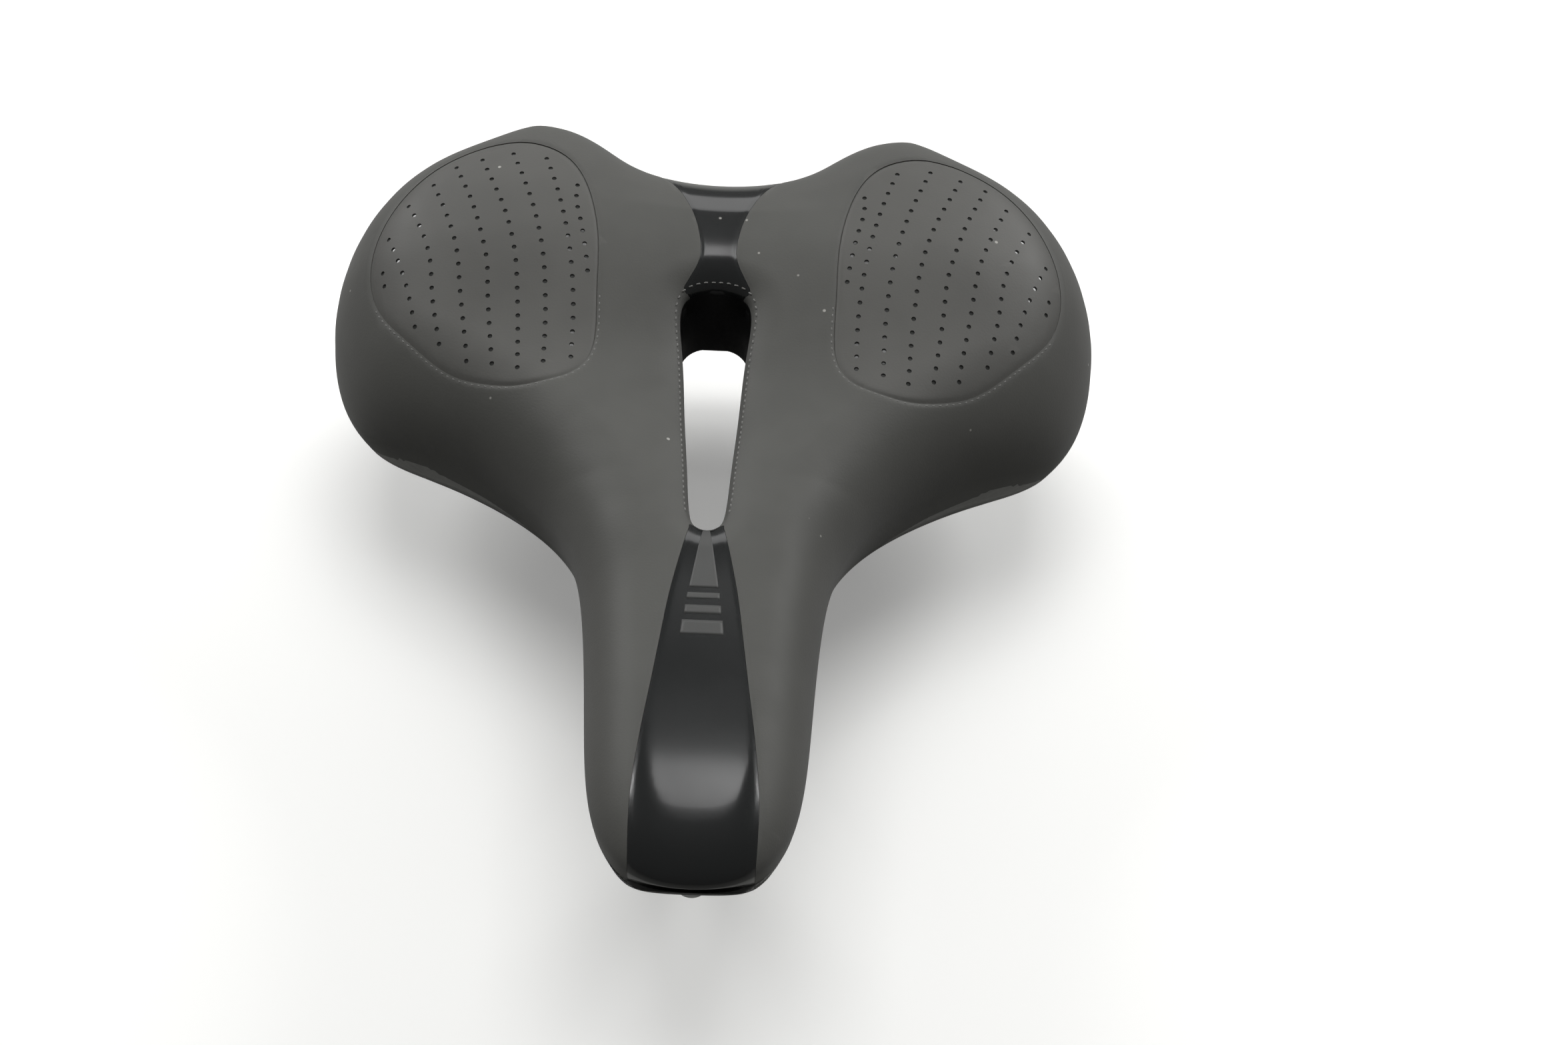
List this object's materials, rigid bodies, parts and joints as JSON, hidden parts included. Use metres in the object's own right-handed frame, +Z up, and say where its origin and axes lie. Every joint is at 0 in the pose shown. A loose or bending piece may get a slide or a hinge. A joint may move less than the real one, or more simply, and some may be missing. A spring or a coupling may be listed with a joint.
{
  "type": "bicycle saddle",
  "caption": "Wide sprung comfort bicycle saddle with perforated gel inserts, glossy centre panels, relief cut-out and steel wire rails.",
  "frame": {"origin": "centre of the seatpost clamp section, midway between the two rails' axes", "axes": "+Z up, nose towards -Y, +X across the saddle"},
  "size_m": [0.2276, 0.2656, 0.1012],
  "materials": {
    "rail_steel": "satin black powder coat",
    "bracket_steel": "satin black powder coat",
    "zinc_steel": "zinc plated",
    "elastomer": "matt moulded rubber",
    "base_plastic": "moulded, fine spark texture",
    "foam": "open-cell moulded foam skin",
    "gel": "soft translucent gel",
    "cover_matte": "smooth matt synthetic leather",
    "insert_cover": "smooth matt synthetic leather, perforated",
    "cover_gloss": "glossy coated synthetic leather"
  },
  "bodies": {
    "undercarriage": {"rail_frame": "rail_steel", "rear_bracket": "bracket_steel", "weld_beads": "rail_steel", "elastomer_left": "elastomer", "elastomer_right": "elastomer"},
    "seat": {"base_shell": "base_plastic", "foam_pad": "foam", "gel_pad_left": "gel", "gel_pad_right": "gel", "nose_panel": "cover_gloss", "rear_panel": "cover_gloss", "cover_left": "cover_matte", "cover_right": "cover_matte", "insert_left": "insert_cover", "insert_right": "insert_cover", "opening_lining": "cover_gloss", "suspension_bolts": "zinc_steel", "bolt_washers": "zinc_steel", "bolt_nuts": "zinc_steel", "nose_clip": "base_plastic", "clip_screws": "zinc_steel", "cover_staples": "zinc_steel"}
  },
  "joints": [
    {"name": "suspension", "type": "hinge", "parent": "undercarriage", "child": "seat", "pos_m": [0, -0.12, 0.045], "axis": [-1, 0, 0], "range_deg": [0, 3], "stiffness_Nm_per_rad": 1400, "deforming": ["elastomer_left", "elastomer_right"]}
  ]
}
